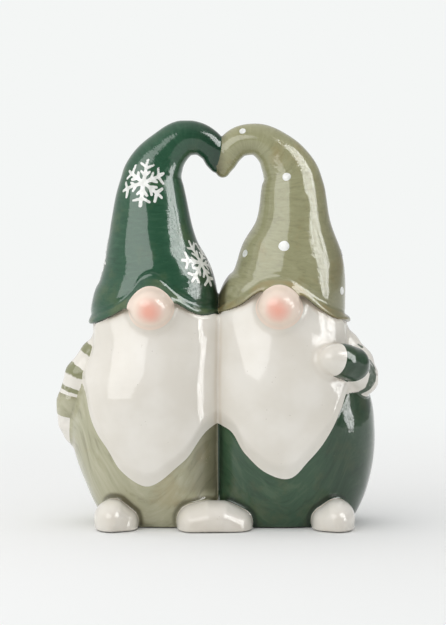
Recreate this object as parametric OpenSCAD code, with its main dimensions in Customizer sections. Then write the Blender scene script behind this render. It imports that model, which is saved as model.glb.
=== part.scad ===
// A pair of glazed ceramic gnomes standing side by side, whose bent hats meet in a heart.
// Hollow slip-cast bodies and hats, with beards, noses, arms and feet luted on before firing.
// Millimetres, +Z up. The gnomes face -Y and the origin is at the centre of the base.
// "left" and "right" are as a viewer in front of the figure sees them.

/* [Bodies] */
// Depth of both bodies, front to back
body_depth = 49; // [47:0.5:50]
// Height of the waistband, where trousers meet shirt
waist_z = 49; // [46:1:52]
// Wall of the hollow shells
wall = 3; // [2.4:0.2:3.6]

/* [Hats] */
// Depth of each hat at its brim, front to back
hat_depth = 40; // [38:0.5:42]
// Height of the brim round the back
brim_back_z = 73; // [72:0.5:75]

/* [Faces] */
// Width of a nose
nose_w = 15.8; // [14:0.2:16.4]
// How far a beard stands out from the body
beard_relief = 2.2; // [1.6:0.2:2.6]

/* [Limbs] */
// Width of a foot
foot_w = 13.2; // [12:0.2:14]
// How far a cuff stands out from its sleeve
cuff_relief = 0.8; // [0.4:0.1:1.2]

/* [Decoration] */
// Width of a snowflake, tip to tip
flake_w = 18.8; // [16:0.2:19.4]
// Width of a snowflake's strokes
stroke_w = 1.1; // [0.8:0.1:1.3]
// Diameter of a dot
dot_d = 3.4; // [2.4:0.2:4]
// Thickness of the white enamel
enamel_t = 0.3; // [0.2:0.1:0.5]

/* [Base] */
// Thickness of the bisque floor that closes the bodies
floor_t = 3; // [2:0.5:4]
// Diameter of each vent hole
vent_d = 10; // [6:1:14]

/* [Hidden] */

LEFT = 0;
RIGHT = 1;
far = 200; // larger than the figure, for cutting blocks
overrun = 2; // how far a cut runs past the face that it opens
joint_x = 0.2; // plane where the two gnomes are luted together
middle_y = 1.5; // centre of the bodies and hats, front to back
neck_z = 84; // top edge of the body shells, inside the hats

sage = [0.62, 0.63, 0.48];
forest = [0.16, 0.33, 0.24];
cream = [0.93, 0.91, 0.87];
blush = [0.95, 0.76, 0.70];
white = [0.95, 0.96, 0.96];
bisque = [0.90, 0.86, 0.80];

// Smoothness of the forms: corners of a ring, and rings between two stations.
body_corners = 32;
body_steps = 2;
hat_corners = 28;
hat_steps = 2;
ball_corners = 16;
body_power = 2.1; // superellipse power of the body rings, a little squarer than an ellipse

// Each station of a body: x of its centre, z, half width, and share of the depth.
body_stations = [
    [
        [-18, 0, 23.5, 0.72], [-19.2, 4, 24.6, 0.8], [-22.4, 13, 25.7, 0.92], [-24.4, 26, 28.2, 0.99],
        [-25, 39, 28.7, 1], [-24.2, 52, 26.5, 0.94], [-22.1, 64, 24.1, 0.83],
        [-21.8, 75, 23.8, 0.7], [-21.6, neck_z, 21, 0.62]
    ],
    [
        [21.5, 0, 26.5, 0.72], [22.8, 4, 28.4, 0.8], [26, 13, 29.3, 0.92], [27, 26, 30.9, 0.99],
        [27, 39, 30.7, 1], [26, 52, 28.6, 0.94], [23.7, 64, 25.3, 0.83],
        [23, 75, 24.4, 0.7], [23.3, neck_z, 21.4, 0.62]
    ]
];

// Each station of a hat's centre line, brim to tip: x, z, half width, and share of the depth.
hat_stations = [
    [
        [-22.9, 69, 24.2, 1], [-22.6, 79, 23.6, 1], [-22.4, 89, 21.4, 0.9], [-23.9, 100.5, 17.4, 0.76],
        [-24.3, 111, 14.7, 0.64], [-24, 123, 12.1, 0.53], [-22.4, 130.5, 9.8, 0.44],
        [-18.8, 136, 8, 0.37], [-13.2, 140.7, 6.9, 0.32], [-6.6, 140.8, 5.9, 0.28],
        [-2, 137.4, 5.2, 0.26], [-0.8, 133.6, 4, 0.21], [-0.4, 131, 2.4, 0.14]
    ],
    [
        [23.8, 69, 25.2, 1], [24, 79, 24.2, 1], [26.2, 89, 21.1, 0.9], [27.1, 100.5, 18.5, 0.76],
        [27.7, 111, 13.7, 0.64], [27.3, 123, 11.7, 0.53], [25.8, 129.8, 9.8, 0.44],
        [21.8, 136, 7.5, 0.37], [15.4, 140.4, 6, 0.32], [8.4, 140, 5.6, 0.28],
        [4.4, 136.6, 5.2, 0.26], [2.6, 132.6, 4.3, 0.22], [2, 129.4, 2.6, 0.15]
    ]
];
hat_cavity_end = 6.5; // station beyond which the slip has filled the hat

// Front edge of each hat: x and z, from the viewer's left to right.
brim_lines = [
    [[-52, 71], [-44, 74.4], [-37, 78], [-31.5, 82], [-28, 87.2], [-24.5, 88.8], [-20.5, 87.3],
     [-15.5, 82.8], [-10, 79], [-4.5, 77.2], [3, 78.2]],
    [[-3, 77.6], [2, 78.4], [8, 81], [13, 85.6], [17.5, 89.4], [22, 90.5], [26.5, 89.4],
     [32, 84.8], [37.5, 79.6], [43.5, 76], [52, 74.6]]
];

beard_back_y = -4; // where the beards end at the sides
nose_at = [[-24.2, -18.6, 81.6], [22.5, -18.6, 82]];

// Lower edge of each beard: x and z, from the viewer's left to right.
beard_lines = [
    [[-70, 64], [-54, 58], [-49, 51], [-45.8, 39.3], [-41, 30.6], [-35, 21.8], [-26, 16], [-18, 20],
     [-11, 26.4], [-4.4, 35.4], [4, 40]],
    [[-4, 40], [4.5, 35.4], [10, 27.4], [18, 20.6], [26, 19], [33, 25.2], [40.4, 34.3], [45, 44],
     [50, 52], [70, 56]]
];

// Limbs are chains of balls: x, y, z and radius.
sleeve_chains = [
    [[-40.4, -1, 67, 4.4], [-44.2, -1, 62, 5], [-49.2, -0.6, 54.5, 5.4], [-52.8, 0, 45.5, 5.6]],
    [[42.4, 2, 70, 5], [46.6, 1, 65, 5.6], [50.8, -1, 59, 6.4], [52, -6, 54, 6.8], [49.8, -12.6, 58.4, 6.2]]
];
cuff_chains = [
    [[-52.9, 0, 45, 5.3], [-53.1, 0.2, 44.2, 5.3]],
    [[49.4, -13.6, 59.6, 5.5], [47.4, -15.8, 60.6, 5.5]]
];
hand_chains = [
    [[-53.4, 1, 42, 4.6], [-53.2, 2, 37, 4.9], [-52.2, 3, 33.2, 4.4]],
    [[46, -17, 61, 4.4], [44, -18.8, 61.6, 4.8], [42.4, -20, 62, 5]]
];
// The arms that hug across the backs, each filled in behind for hug_reach.
hug_sleeve_chains = [
    [[-12, 17, 70, 4.4], [-3, 21.6, 68, 5], [6, 23.2, 65.4, 5], [15, 23.2, 63, 5]],
    [[13, 20, 58, 4.4], [3, 22.6, 53.6, 5], [-6, 23.8, 50, 5], [-15, 23.8, 47.2, 5]]
];
hug_cuff_chains = [
    [[15, 23.2, 63, 5], [18.6, 23, 62, 4.9]],
    [[-15, 23.8, 47.2, 5], [-18.6, 23.8, 46.2, 4.9]]
];
hug_hand_chains = [
    [[18, 22.6, 62.2, 4.4], [23, 22.2, 61, 4.7], [27, 21.4, 60, 4.2]],
    [[-18, 23.6, 46.4, 4.4], [-23, 23.6, 44.8, 4.7], [-27, 23.2, 43.6, 4.2]]
];
hug_reach = 10;

// Each foot: x of its heel, x of its toe, and share of the width.
outer_feet = [[-34, -37, 1.05], [40, 42.8, 1.1]];
inner_feet = [[-9, -7.4, 1], [7, 4.6, 1.08]];
heel_y = -10;
toe_y = -23.4;
instep_z = 4.6; // height of a foot's centre

// Snowflakes on the left hat: way along its centre line, turn round it, spin.
flakes = [[0.435, -106, 1], [0.2, -31, 11], [0.24, 165, 22], [0.31, 84, 8]];
// Dots on the right hat: way along its centre line, turn round it.
dots = [
    [0.475, -98], [0.265, -100], [0.235, -154], [0.165, -22], [0.25, -2], [0.73, -50],
    [0.34, 36], [0.16, 62], [0.3, 92], [0.47, 70], [0.18, 128], [0.38, 150], [0.6, 110]
];

// ---- Curves and skins ----

function catmull(a, b, c, d, t) =
    (2 * b + (c - a) * t + (2 * a - 5 * b + 4 * c - d) * t * t + (3 * b - a - 3 * c + d) * t * t * t) / 2;
function curve_at(p, u) =
    let (last = len(p) - 1, i = max(0, min(floor(u), last - 1)))
    catmull(p[max(i - 1, 0)], p[i], p[i + 1], p[min(i + 2, last)], u - i);
function curve(p, steps) = [for (k = [0 : (len(p) - 1) * steps]) curve_at(p, k / steps)];
function unit(v) = v / norm(v);
function power_of(v, e) = sign(v) * pow(abs(v), e);

// A closed solid through a list of rings that all have the same number of points.
module skin(rings) {
    n = len(rings[0]);
    last = len(rings) - 1;
    sides = [
        for (i = [0 : last - 1], j = [0 : n - 1])
        let (a = i * n + j, b = i * n + (j + 1) % n)
        each [[a, b, b + n], [a, b + n, a + n]]
    ];
    polyhedron(
        points = [for (ring = rings) each ring],
        faces = concat([[for (j = [n - 1 : -1 : 0]) j]], sides, [[for (j = [0 : n - 1]) last * n + j]])
    );
}

// Joins its children into one closed mesh, at the size that they have.
module cast() {
    resize([0, 0, 0]) children();
}

// Everything below a line of [x, z] points, between two planes across the depth.
module below(line, y_from, y_to) {
    points = curve(line, 3);
    first = points[0];
    last = points[len(points) - 1];
    translate([0, y_to, 0])
        rotate([90, 0, 0])
            linear_extrude(y_to - y_from)
                polygon(concat(points, [[last.x, -far], [first.x, -far]]));
}

module half_space(s) {
    translate([s == LEFT ? joint_x - far : joint_x, -far / 2, -far / 2]) cube([far, far, 2 * far]);
}

module slab(z_from, z_to) {
    translate([-far / 2, -far / 2, z_from]) cube([far, far, z_to - z_from]);
}

// ---- Forms that several pieces share ----

function body_ring(p, grow) =
    [for (k = [0 : body_corners - 1])
        let (a = -360 * k / body_corners)
        [
            p[0] + (p[2] + grow) * power_of(cos(a), 2 / body_power),
            middle_y + (p[3] * body_depth / 2 + grow) * power_of(sin(a), 2 / body_power),
            p[1]
        ]];

module body_form(s, grow = 0) {
    skin([for (p = curve(body_stations[s], body_steps)) body_ring(p, grow)]);
}

module bodies() {
    for (s = [LEFT, RIGHT]) body_form(s);
}

module body_cavity() {
    intersection() {
        for (s = [LEFT, RIGHT]) body_form(s, -wall);
        slab(floor_t, neck_z + overrun);
    }
}

function hat_point(s, u) = curve_at(hat_stations[s], u);
function hat_along(s, u) =
    let (d = hat_point(s, u + 0.05) - hat_point(s, u - 0.05))
    unit([d[0], 0, d[1]]);
function hat_across(s, u) = let (d = hat_along(s, u)) [d.z, 0, -d.x];

function hat_ring(s, u, grow) =
    let (p = hat_point(s, u), across = hat_across(s, u))
    [for (k = [0 : hat_corners - 1])
        let (a = -360 * k / hat_corners)
        [p[0], middle_y, p[1]]
            + across * (p[2] + grow) * cos(a)
            + [0, (p[3] * hat_depth / 2 + grow) * sin(a), 0]];

module hat_form(s, grow = 0, end = len(hat_stations[LEFT]) - 1) {
    skin([for (k = [0 : end * hat_steps]) hat_ring(s, k / hat_steps, grow)]);
}

module under_brim(s) {
    below(brim_lines[s], -far / 2, middle_y);
    translate([-far / 2, middle_y, -far]) cube([far, far, far + brim_back_z]);
}

module floor_outline() {
    for (s = [LEFT, RIGHT])
        polygon([for (p = body_ring(body_stations[s][0], -wall)) [p.x, p.y]]);
}

// A chain of balls, each hulled to the next, and filled in towards -Y for reach.
module chain(balls, grow = 0, reach = 0) {
    for (i = [0 : len(balls) - 2])
        hull()
            for (b = [balls[i], balls[i + 1]], back = [0, reach])
                translate([b[0], b[1] - back, b[2]]) sphere(r = b[3] + grow, $fn = ball_corners);
}

module nose_ball(s) {
    translate(nose_at[s]) sphere(d = nose_w, $fn = 20);
}

// ---- Hats ----

module hat(s) {
    cast()
        difference() {
            hat_form(s);
            under_brim(s);
            bodies();
            half_space(1 - s);
            intersection() {
                hat_form(s, -wall, hat_cavity_end);
                slab(neck_z - overrun / 4, far);
            }
            nose_ball(s);
        }
}

module left_hat() {
    color(forest) hat(LEFT);
}

module right_hat() {
    color(sage) hat(RIGHT);
}

// Sets its children on the surface of a hat, facing out.
module on_hat(s, way, turn, spin = 0) {
    u = way * (len(hat_stations[s]) - 1);
    p = hat_point(s, u);
    along = hat_along(s, u);
    out = unit(hat_across(s, u) * cos(turn) / p[2] + [0, sin(turn) / (p[3] * hat_depth / 2), 0]);
    side = cross(along, out);
    at = [p[0], middle_y, p[1]]
        + hat_across(s, u) * p[2] * cos(turn)
        + [0, p[3] * hat_depth / 2 * sin(turn), 0];
    multmatrix([
        [side.x, along.x, out.x, at.x],
        [side.y, along.y, out.y, at.y],
        [side.z, along.z, out.z, at.z]
    ])
        rotate(spin) children();
}

module stroke(length) {
    translate([0, -stroke_w / 2]) square([length, stroke_w]);
}

module snowflake() {
    r = flake_w / 2;
    for (a = [0 : 60 : 300])
        rotate(a) {
            stroke(r);
            for (side = [-1, 1]) {
                translate([0.66 * r, 0]) rotate(66 * side) stroke(0.34 * r);
                translate([0.3 * r, 0]) rotate(45 * side) stroke(0.26 * r);
            }
        }
}

module snowflake_decals() {
    color(white)
        cast()
            difference() {
                intersection() {
                    for (f = flakes)
                        on_hat(LEFT, f[0], f[1], f[2])
                            translate([0, 0, -flake_w / 2])
                                linear_extrude(flake_w)
                                    snowflake();
                    hat_form(LEFT, enamel_t);
                    half_space(LEFT);
                }
                hat_form(LEFT);
            }
}

module dot_decals() {
    color(white)
        cast()
            difference() {
                intersection() {
                    for (d = dots)
                        on_hat(RIGHT, d[0], d[1])
                            translate([0, 0, -dot_d])
                                cylinder(d = dot_d, h = 2 * dot_d, $fn = 16);
                    hat_form(RIGHT, enamel_t);
                    half_space(RIGHT);
                }
                hat_form(RIGHT);
            }
}

// ---- Faces ----

module nose(s) {
    color(blush)
        cast()
            difference() {
                nose_ball(s);
                body_form(s);
            }
}

module left_nose() {
    nose(LEFT);
}

module right_nose() {
    nose(RIGHT);
}

module beard(s) {
    color(cream)
        cast()
            difference() {
                intersection() {
                    body_form(s, beard_relief);
                    half_space(s);
                    under_brim(s);
                    translate([-far / 2, beard_back_y - far, 0]) cube([far, far, neck_z]);
                }
                below(beard_lines[s], -far / 2, far / 2);
                bodies();
                nose_ball(s);
            }
}

module left_beard() {
    beard(LEFT);
}

module right_beard() {
    beard(RIGHT);
}

// ---- Bodies ----

module body_band(s, z_from, z_to) {
    cast()
        difference() {
            intersection() {
                body_form(s);
                half_space(s);
                slab(z_from, z_to);
            }
            body_cavity();
            translate([0, 0, -overrun]) linear_extrude(floor_t + overrun) floor_outline();
        }
}

module left_shirt() {
    color(cream) body_band(LEFT, waist_z, far);
}

module right_shirt() {
    color(cream) body_band(RIGHT, waist_z, far);
}

module left_trousers() {
    color(sage) body_band(LEFT, 0, waist_z);
}

module right_trousers() {
    color(forest) body_band(RIGHT, 0, waist_z);
}

// The flat unglazed floor, with a vent hole under each gnome.
module base_floor() {
    color(bisque)
        difference() {
            linear_extrude(floor_t) floor_outline();
            for (s = [LEFT, RIGHT])
                translate([body_stations[s][0][0], middle_y, -overrun])
                    cylinder(d = vent_d, h = floor_t + 2 * overrun, $fn = 48);
        }
}

// ---- Arms ----

// What an arm lies against: the bodies, beards and hats of both gnomes.
module figure() {
    for (s = [LEFT, RIGHT]) {
        body_form(s);
        intersection() {
            body_form(s, beard_relief);
            under_brim(s);
            translate([-far / 2, beard_back_y - far, 0]) cube([far, far, neck_z]);
        }
        difference() {
            hat_form(s);
            under_brim(s);
        }
    }
}

module sleeve(balls, cuff_balls, reach = 0) {
    color(cream)
        cast()
            difference() {
                chain(balls, 0, reach);
                chain(cuff_balls, cuff_relief, reach);
                figure();
            }
}

module cuff(balls, tint, reach = 0) {
    color(tint)
        cast()
            difference() {
                chain(balls, cuff_relief, reach);
                figure();
            }
}

module hand(balls, cuff_balls, reach = 0) {
    color(cream)
        cast()
            difference() {
                chain(balls, 0, reach);
                chain(cuff_balls, cuff_relief, reach);
                figure();
            }
}

module left_outer_sleeve() {
    sleeve(sleeve_chains[LEFT], cuff_chains[LEFT]);
}

module right_outer_sleeve() {
    sleeve(sleeve_chains[RIGHT], cuff_chains[RIGHT]);
}

module left_inner_sleeve() {
    sleeve(hug_sleeve_chains[LEFT], hug_cuff_chains[LEFT], hug_reach);
}

// This sleeve starts from under the other gnome's sleeve.
module right_inner_sleeve() {
    color(cream)
        cast()
            difference() {
                sleeve(hug_sleeve_chains[RIGHT], hug_cuff_chains[RIGHT], hug_reach);
                chain(hug_sleeve_chains[LEFT], 0, hug_reach);
                chain(hug_cuff_chains[LEFT], cuff_relief, hug_reach);
            }
}

module left_outer_cuff() {
    cuff(cuff_chains[LEFT], sage);
}

module left_outer_hand() {
    hand(hand_chains[LEFT], cuff_chains[LEFT]);
}

module right_outer_cuff() {
    cuff(cuff_chains[RIGHT], forest);
}

module right_outer_hand() {
    hand(hand_chains[RIGHT], cuff_chains[RIGHT]);
}

module left_inner_cuff() {
    cuff(hug_cuff_chains[LEFT], sage, hug_reach);
}

module left_inner_hand() {
    hand(hug_hand_chains[LEFT], hug_cuff_chains[LEFT], hug_reach);
}

module right_inner_cuff() {
    cuff(hug_cuff_chains[RIGHT], forest, hug_reach);
}

module right_inner_hand() {
    hand(hug_hand_chains[RIGHT], hug_cuff_chains[RIGHT], hug_reach);
}

// ---- Feet ----

module foot(f) {
    r = foot_w / 2 * f[2];
    color(cream)
        cast()
            difference() {
                hull() {
                    translate([f[0], heel_y, instep_z]) sphere(r = r, $fn = 20);
                    translate([f[1], toe_y, instep_z]) scale([1, 1, 0.98]) sphere(r = r, $fn = 20);
                }
                bodies();
                slab(-far, 0);
            }
}

module left_outer_foot() {
    foot(outer_feet[LEFT]);
}

module left_inner_foot() {
    foot(inner_feet[LEFT]);
}

module right_inner_foot() {
    foot(inner_feet[RIGHT]);
}

module right_outer_foot() {
    foot(outer_feet[RIGHT]);
}

left_hat();
right_hat();
left_nose();
right_nose();
left_beard();
right_beard();
left_shirt();
right_shirt();
left_trousers();
right_trousers();
left_outer_sleeve();
left_outer_cuff();
left_outer_hand();
right_outer_sleeve();
right_outer_cuff();
right_outer_hand();
left_inner_sleeve();
left_inner_cuff();
left_inner_hand();
right_inner_sleeve();
right_inner_cuff();
right_inner_hand();
left_outer_foot();
left_inner_foot();
right_inner_foot();
right_outer_foot();
snowflake_decals();
dot_decals();
base_floor();
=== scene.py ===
"""Looks of the pair of glazed ceramic gnomes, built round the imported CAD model.

The whole figurine is sculpted as one distance field, in millimetres, so that the glazed surface runs on
without a break from one form to the next, as on the fired piece. The field is meshed once, the skin is
parted along the forms and the painted lines, and each part becomes a closed shell of its own.
"left" and "right" are as a viewer in front of the figure, on its -Y side, sees them.
"""
import math
from itertools import product

import bpy
import numpy as np
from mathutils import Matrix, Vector


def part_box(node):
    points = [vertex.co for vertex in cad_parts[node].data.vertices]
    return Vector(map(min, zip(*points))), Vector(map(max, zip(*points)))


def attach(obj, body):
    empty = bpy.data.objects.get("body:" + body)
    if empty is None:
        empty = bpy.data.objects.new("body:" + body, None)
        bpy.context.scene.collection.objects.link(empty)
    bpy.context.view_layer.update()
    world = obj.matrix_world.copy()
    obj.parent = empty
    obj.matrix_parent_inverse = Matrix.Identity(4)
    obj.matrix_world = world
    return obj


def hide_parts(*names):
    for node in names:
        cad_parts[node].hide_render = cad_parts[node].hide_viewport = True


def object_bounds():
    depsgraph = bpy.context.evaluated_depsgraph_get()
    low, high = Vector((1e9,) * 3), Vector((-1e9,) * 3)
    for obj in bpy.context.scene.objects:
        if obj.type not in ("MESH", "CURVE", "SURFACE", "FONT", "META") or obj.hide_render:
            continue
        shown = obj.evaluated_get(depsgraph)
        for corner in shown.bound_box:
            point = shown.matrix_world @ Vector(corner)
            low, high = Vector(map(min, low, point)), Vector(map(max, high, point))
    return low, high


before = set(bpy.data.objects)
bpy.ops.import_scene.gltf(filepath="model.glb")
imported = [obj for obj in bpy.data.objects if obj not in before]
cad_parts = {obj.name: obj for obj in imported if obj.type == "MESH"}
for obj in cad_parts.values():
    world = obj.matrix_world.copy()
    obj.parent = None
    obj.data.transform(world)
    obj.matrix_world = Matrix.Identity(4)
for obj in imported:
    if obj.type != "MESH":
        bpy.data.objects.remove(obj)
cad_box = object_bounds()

MM = 0.001
LEFT, RIGHT = 0, 1
SIDES = (LEFT, RIGHT)
SIDE_NAMES = ("left", "right")


# ---- Camera, first, at the photograph's viewing angle ----

CAMERA_ELEVATION = 5.0  # degrees above the horizon
CAMERA_DISTANCE = 1.5
CAMERA_TARGET = Vector((0.0020, -0.025, 0.0795))
CAMERA_LENS = 239.6  # mm on a 36 mm sensor


def make_camera():
    """A long lens almost level with the figure."""
    camera = bpy.data.objects.new("camera", bpy.data.cameras.new("camera"))
    bpy.context.scene.collection.objects.link(camera)
    lift = math.radians(CAMERA_ELEVATION)
    back = Vector((0, -math.cos(lift), math.sin(lift)))
    camera.location = CAMERA_TARGET + back * CAMERA_DISTANCE
    camera.rotation_euler = (-back).to_track_quat("-Z", "Y").to_euler()
    camera.data.lens = CAMERA_LENS
    camera.data.clip_end = 50
    bpy.context.scene.camera = camera


make_camera()


# ---- Driving dimensions, in millimetres ----

CELL = 0.55  # cell of the sculpting grid
MIDDLE_Y = 1.5  # centre of the bodies and hats, front to back
JOINT_X = 0.2  # plane where the two gnomes are luted together
BODY_DEPTH = 49.0
HAT_DEPTH = 40.0
BODY_POWER = 2.1  # superellipse power of the body rings
NECK_Z = 84.0
WAIST_Z = 49.0
BRIM_BACK_Z = 73.0
BEARD_BACK_Y = -4.0
BEARD_RELIEF = 1.5
SHELL_WALL = 2.2

# Each station of a body: x of its centre, z, half width, and share of the depth.
BODY_STATIONS = (
    ((-18, 0, 23.5, 0.72), (-19.2, 4, 24.6, 0.8), (-22.4, 13, 25.7, 0.92), (-24.4, 26, 28.2, 0.99),
     (-25, 39, 28.7, 1), (-24.2, 52, 26.5, 0.94), (-22.1, 64, 24.1, 0.83), (-21.8, 75, 23.8, 0.7),
     (-21.6, NECK_Z, 21, 0.62)),
    ((21.5, 0, 26.5, 0.72), (22.8, 4, 28.4, 0.8), (26, 13, 29.3, 0.92), (27, 26, 30.9, 0.99),
     (27, 39, 30.7, 1), (26, 52, 28.6, 0.94), (23.7, 64, 25.3, 0.83), (23, 75, 24.4, 0.7),
     (23.3, NECK_Z, 21.4, 0.62)),
)
# Each station of a hat's centre line, brim to tip: x, z, half width, and share of the depth.
HAT_STATIONS = (
    ((-22.9, 69, 24.2, 1), (-22.6, 79, 23.6, 1), (-22.4, 89, 21.4, 0.9), (-23.9, 100.5, 17.4, 0.76),
     (-24.3, 111, 14.7, 0.64), (-24, 123, 12.1, 0.53), (-22.4, 130.5, 9.8, 0.44), (-18.8, 136, 8, 0.37),
     (-13.2, 140.7, 6.9, 0.32), (-6.6, 140.8, 5.9, 0.28), (-2, 137.4, 5.2, 0.26),
     (-0.8, 133.6, 4, 0.21), (-0.4, 131, 2.4, 0.14)),
    ((23.8, 69, 25.2, 1), (24, 79, 24.2, 1), (26.2, 89, 21.1, 0.9), (27.1, 100.5, 18.5, 0.76),
     (27.7, 111, 13.7, 0.64), (27.3, 123, 11.7, 0.53), (25.8, 129.8, 9.8, 0.44), (21.8, 136, 7.5, 0.37),
     (15.4, 140.4, 6, 0.32), (8.4, 140, 5.6, 0.28), (4.4, 136.6, 5.2, 0.26), (2.6, 132.6, 4.3, 0.22),
     (2, 129.4, 2.6, 0.15)),
)
# Front edge of each hat, and lower edge of each beard: x and z, from the viewer's left to right.
BRIM_LINES = (
    ((-52, 71), (-44, 74.4), (-37, 78), (-31.5, 82), (-28, 87.2), (-24.5, 88.8), (-20.5, 87.3),
     (-15.5, 82.8), (-10, 79), (-4.5, 77.2), (3, 78.2)),
    ((-3, 77.6), (2, 78.4), (8, 81), (13, 84.8), (17.5, 87.6), (22, 88.4), (26.5, 87.5), (32, 84),
     (37.5, 79.6), (43.5, 76), (52, 74.6)),
)
BEARD_LINES = (
    ((-70, 64), (-54, 58), (-49, 51), (-45.8, 39.3), (-41, 30.6), (-35, 21.8), (-26, 16), (-18, 20),
     (-11, 26.4), (-4.4, 35.4), (4, 40)),
    ((-4, 40), (4.5, 35.4), (10, 27.4), (18, 20.6), (26, 19), (33, 25.2), (40.4, 34.3), (45, 44),
     (50, 52), (70, 56)),
)
# Limbs are chains of balls: x, y, z and radius.
ARM_CHAINS = {
    "left_outer_sleeve": ((-41, -1, 67, 4.6), (-45.2, -1, 62, 5.1), (-50.2, -0.6, 54.5, 5.6),
                          (-53, 0, 45.5, 5.6)),
    "left_outer_cuff": ((-53, 0, 45, 6), (-53.2, 0.2, 44.2, 6)),
    "left_outer_hand": ((-53.4, 1, 42, 4.7), (-53.4, 2, 37, 5), (-52.4, 3, 33.4, 4.5)),
    "right_outer_sleeve": ((42.4, 2, 70, 5), (46.6, 1, 65, 5.6), (50.8, -1, 59, 6.4), (52, -6, 54, 6.8),
                           (49.4, -12, 58, 6.3)),
    "right_outer_cuff": ((49, -14, 59.6, 6.5), (46.4, -16.6, 60.8, 6.3)),
    "right_outer_hand": ((45.4, -17.2, 61.1, 4.3), (43.4, -18.7, 61.7, 4.8), (41.8, -19.6, 62.1, 5)),
    "left_inner_sleeve": ((-12, 17, 70, 4.4), (-3, 21.6, 68, 5), (6, 23.2, 65.4, 5), (15, 23.2, 63, 5)),
    "left_inner_cuff": ((15, 23.2, 63, 5.6), (18.2, 23, 62.1, 5.5)),
    "left_inner_hand": ((18, 22.6, 62.2, 4.4), (23, 22.2, 61, 4.7), (27, 21.4, 60, 4.2)),
    "right_inner_sleeve": ((13, 20, 58, 4.4), (3, 22.6, 53.6, 5), (-6, 23.8, 50, 5), (-15, 23.8, 47.2, 5)),
    "right_inner_cuff": ((-15, 23.8, 47.2, 5.6), (-18.2, 23.8, 46.3, 5.5)),
    "right_inner_hand": ((-18, 23.6, 46.4, 4.4), (-23, 23.6, 44.8, 4.7), (-27, 23.2, 43.6, 4.2)),
}
FOOT_CHAINS = {
    "left_outer_foot": ((-38.2, -19.6, 4.2, 6.6), (-34.4, -18.6, 2.2, 5.6)),
    "left_inner_foot": ((-8.6, -19.6, 2.8, 6.3), (-3, -19.6, 4, 6.4)),
    "right_inner_foot": ((1.4, -19.4, 4, 6.4), (7, -19, 1.8, 5.7)),
    "right_outer_foot": ((43.4, -19.6, 4.2, 6.5), (40, -18.6, 2.6, 5.8)),
}
FOOT_STRETCH = 0.6  # feet are this much narrower than long
FOOT_MARGIN = 0.2  # how far the cloth's glaze runs onto the feet
# Fillets where the forms are luted to what lies under them.
FILLETS = {"body": 1.6, "hat": 0.6, "nose": 4.2, "sleeve": 1.6, "cuff": 0.4, "hand": 3.6, "foot": 1.4}

# Snowflakes on the left hat: way along its centre line, turn round it and spin, in degrees.
FLAKES = ((0.435, -106, 1), (0.2, -31, 11), (0.24, 165, 22), (0.31, 84, 8))
FLAKE_RADIUS = 9.3
# Dots on the right hat: way along its centre line, turn round it, radius.
DOTS = (
    (0.475, -98, 1.6), (0.265, -100, 2.0), (0.235, -154, 1.6), (0.165, -22, 1.6), (0.25, -2, 1.6),
    (0.73, -50, 1.2), (0.34, 36, 1.8), (0.16, 62, 1.8), (0.3, 92, 1.8), (0.47, 70, 1.6),
    (0.18, 128, 1.9), (0.38, 150, 1.6), (0.6, 110, 1.5),
)
ENAMEL_RISE = 0.18
ENAMEL_LIFT = 0.03  # the thinnest edge of a mark
ENAMEL_DEPTH = 0.25  # how far a mark reaches into the glaze under it


# ---- Curves, noise and blends ----

def catmull(points, steps):
    """Catmull-Rom curve through the points, the same one that the CAD model uses."""
    p = np.asarray(points, float)
    padded = np.vstack([p[:1], p, p[-1:]])
    rows = []
    for i in range(len(p) - 1):
        a, b, c, d = padded[i:i + 4]
        for t in np.arange(steps) / steps:
            rows.append((2 * b + (c - a) * t + (2 * a - 5 * b + 4 * c - d) * t**2
                         + (3 * b - a - 3 * c + d) * t**3) / 2)
    return np.array(rows + [p[-1]])


def smooth_step(low, high, value):
    t = np.clip((value - low) / (high - low), 0, 1)
    return t * t * (3 - 2 * t)


def blend_min(a, b, k):
    """Union of two distance fields with a fillet of about k."""
    h = np.clip(0.5 + 0.5 * (b - a) / k, 0, 1)
    return b * (1 - h) + a * h - k * h * (1 - h)


def blend_max(a, b, k):
    """Intersection of two distance fields with an edge rounded by about k."""
    return -blend_min(-a, -b, k)


LATTICE_SIZE = 32


def noise(x, y, z, size, seed):
    """Smooth noise from -1 to 1 whose lumps are about size across."""
    lattice = np.random.default_rng(seed).random((LATTICE_SIZE,) * 3) * 2 - 1
    low, high, share = [], [], []
    for value in (x, y, z):
        scaled = np.asarray(value, float) / size + 100
        cell = np.floor(scaled).astype(int)
        t = scaled - cell
        low.append(cell % LATTICE_SIZE)
        high.append((cell + 1) % LATTICE_SIZE)
        share.append(t**3 * (t * (6 * t - 15) + 10))
    total = 0
    for bits in product((0, 1), repeat=3):
        corner = tuple((high if bit else low)[axis] for axis, bit in enumerate(bits))
        weight = math.prod(share[axis] if bit else 1 - share[axis] for axis, bit in enumerate(bits))
        total = total + lattice[corner] * weight
    return total


# ---- Distance fields of the forms ----

BODY_CURVES = [catmull(stations, 6) for stations in BODY_STATIONS]
BRIM_CURVES = [catmull(line, 6) for line in BRIM_LINES]
BEARD_CURVES = [catmull(line, 6) for line in BEARD_LINES]


def body_frame(side, z):
    """Centre, half width and half depth of a body at each height."""
    curve = BODY_CURVES[side]
    x, half, share = (np.interp(z, curve[:, 1], curve[:, i]) for i in (0, 2, 3))
    return x, half, share * BODY_DEPTH / 2


def beard_line(side, x):
    return np.interp(x, BEARD_CURVES[side][:, 0], BEARD_CURVES[side][:, 1])


def beard_side(side, x, y, z):
    """How far inside the beard's outline a point is; negative outside."""
    wobble = 0.35 * noise(x, 0, z, 7, 21)
    return np.minimum((z - beard_line(side, x)) * 0.75, BEARD_BACK_Y - y) + wobble


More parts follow.
